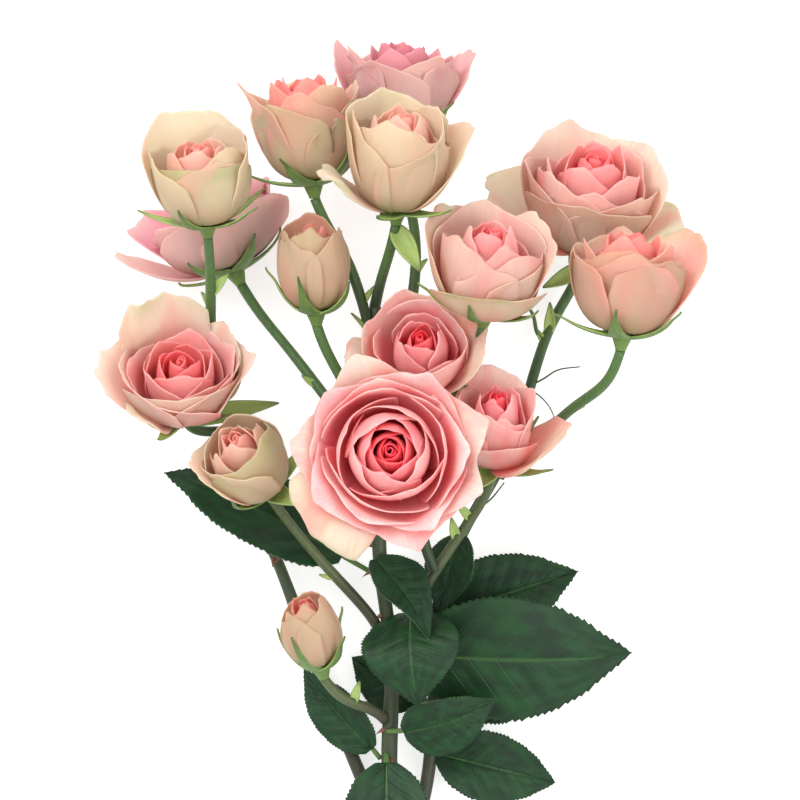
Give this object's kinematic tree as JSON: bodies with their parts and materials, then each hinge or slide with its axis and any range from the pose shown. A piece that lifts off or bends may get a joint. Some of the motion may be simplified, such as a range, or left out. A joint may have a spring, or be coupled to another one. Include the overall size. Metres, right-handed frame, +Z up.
{
  "type": "cut rose",
  "caption": "Cut spray rose lying on its back: branching green canes with serrated leaflets and pale pink flower heads from tight bud to wide open.",
  "frame": {"origin": "middle of the box's underside, on the surface that the spray lies on", "axes": "+Y along the main cane from its cut end to the flower heads, +Z up from the surface, +X to the right seen from above with the heads away from the viewer"},
  "size_m": [0.1916, 0.3852, 0.1032],
  "materials": {
    "petals": "matte",
    "calyx": "matte",
    "stalk": "satin",
    "cane": "satin",
    "leaf": "satin"
  },
  "bodies": {
    "root": {"main_cane": "cane", "left_cane": "cane", "right_cane": "cane", "stalk_a": "stalk", "calyx_a": "calyx", "petals_a": "petals", "stalk_b": "stalk", "calyx_b": "calyx", "petals_b": "petals", "stalk_c": "stalk", "calyx_c": "calyx", "petals_c": "petals", "stalk_d": "stalk", "calyx_d": "calyx", "petals_d": "petals", "stalk_e": "stalk", "calyx_e": "calyx", "petals_e": "petals", "stalk_f": "stalk", "calyx_f": "calyx", "petals_f": "petals", "stalk_g": "stalk", "calyx_g": "calyx", "petals_g": "petals", "stalk_h": "stalk", "calyx_h": "calyx", "petals_h": "petals", "stalk_i": "stalk", "calyx_i": "calyx", "petals_i": "petals", "stalk_j": "stalk", "calyx_j": "calyx", "petals_j": "petals", "stalk_k": "stalk", "calyx_k": "calyx", "petals_k": "petals", "stalk_l": "stalk", "calyx_l": "calyx", "petals_l": "petals", "stalk_m": "stalk", "calyx_m": "calyx", "petals_m": "petals", "stalk_n": "stalk", "calyx_n": "calyx", "petals_n": "petals", "stalk_o": "stalk", "calyx_o": "calyx", "petals_o": "petals", "leaflet_1": "leaf", "leaflet_2": "leaf", "leaflet_3": "leaf", "leaflet_4": "leaf", "leaflet_5": "leaf", "leaflet_6": "leaf", "leaflet_7": "leaf", "leaflet_8": "leaf", "leaflet_9": "leaf", "leaflet_10": "leaf", "leaflet_11": "leaf", "leaflet_12": "leaf"}
  },
  "joints": []
}
